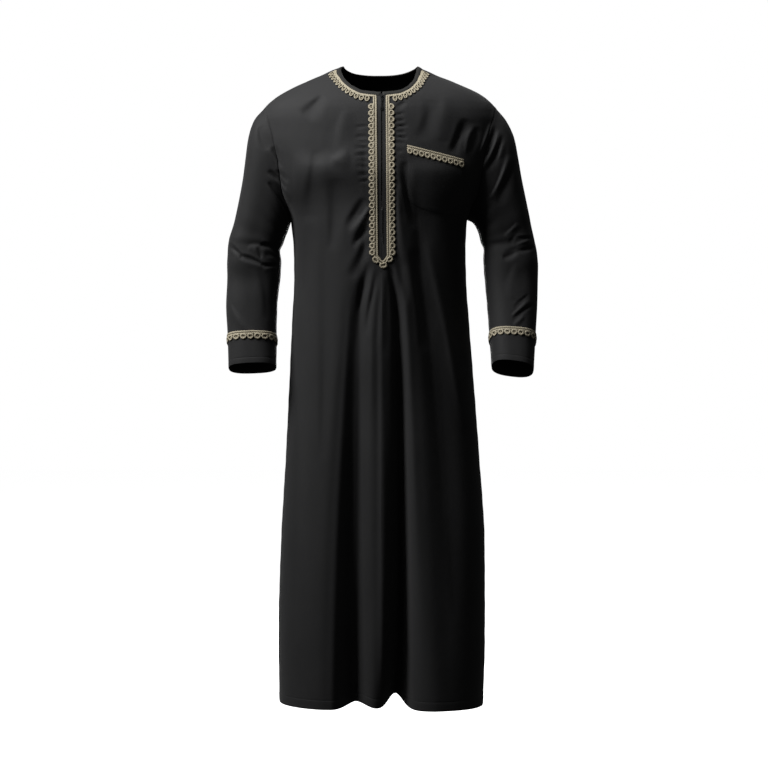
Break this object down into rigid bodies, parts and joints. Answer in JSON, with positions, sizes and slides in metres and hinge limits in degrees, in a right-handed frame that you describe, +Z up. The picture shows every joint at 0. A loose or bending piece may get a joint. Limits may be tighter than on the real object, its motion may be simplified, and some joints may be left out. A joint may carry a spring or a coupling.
{
  "type": "thobe",
  "caption": "Ankle-length black robe in its hollow worn form: long sleeves, round neck, zipped chest slit, and looped gold braid along neck, slit, pocket mouth and cuffs.",
  "frame": {"origin": "midway between the two high points of the shoulders beside the neck, where the robe hangs on its wearer", "axes": "+Z up along the robe's length, +X to the wearer's left, -Y to the front"},
  "size_m": [0.6831, 0.2641, 1.4003],
  "materials": {
    "black_cloth": "matte plain weave with a faint sheen",
    "binding": "smooth folded strip",
    "zip_tape": "ribbed tape",
    "zip_metal": "black enamel",
    "gold_braid": "twisted cord with a soft shine"
  },
  "bodies": {
    "robe": {"front_panel": "black_cloth", "back_panel": "black_cloth", "sleeve_right": "black_cloth", "sleeve_left": "black_cloth", "neck_band": "binding", "zip_tape_right": "zip_tape", "zip_tape_left": "zip_tape", "zip_slider": "zip_metal", "pocket_patch": "black_cloth", "braid_front": "gold_braid", "braid_pocket": "gold_braid", "braid_cuff_right": "gold_braid", "braid_cuff_left": "gold_braid"},
    "pull": {"zip_pull": "zip_metal"}
  },
  "joints": [
    {"name": "pull_swing", "type": "hinge", "parent": "robe", "child": "pull", "pos_m": [0, -0.09382, -0.07944], "axis": [-1, 0, 0], "range_deg": [0, 150]}
  ]
}
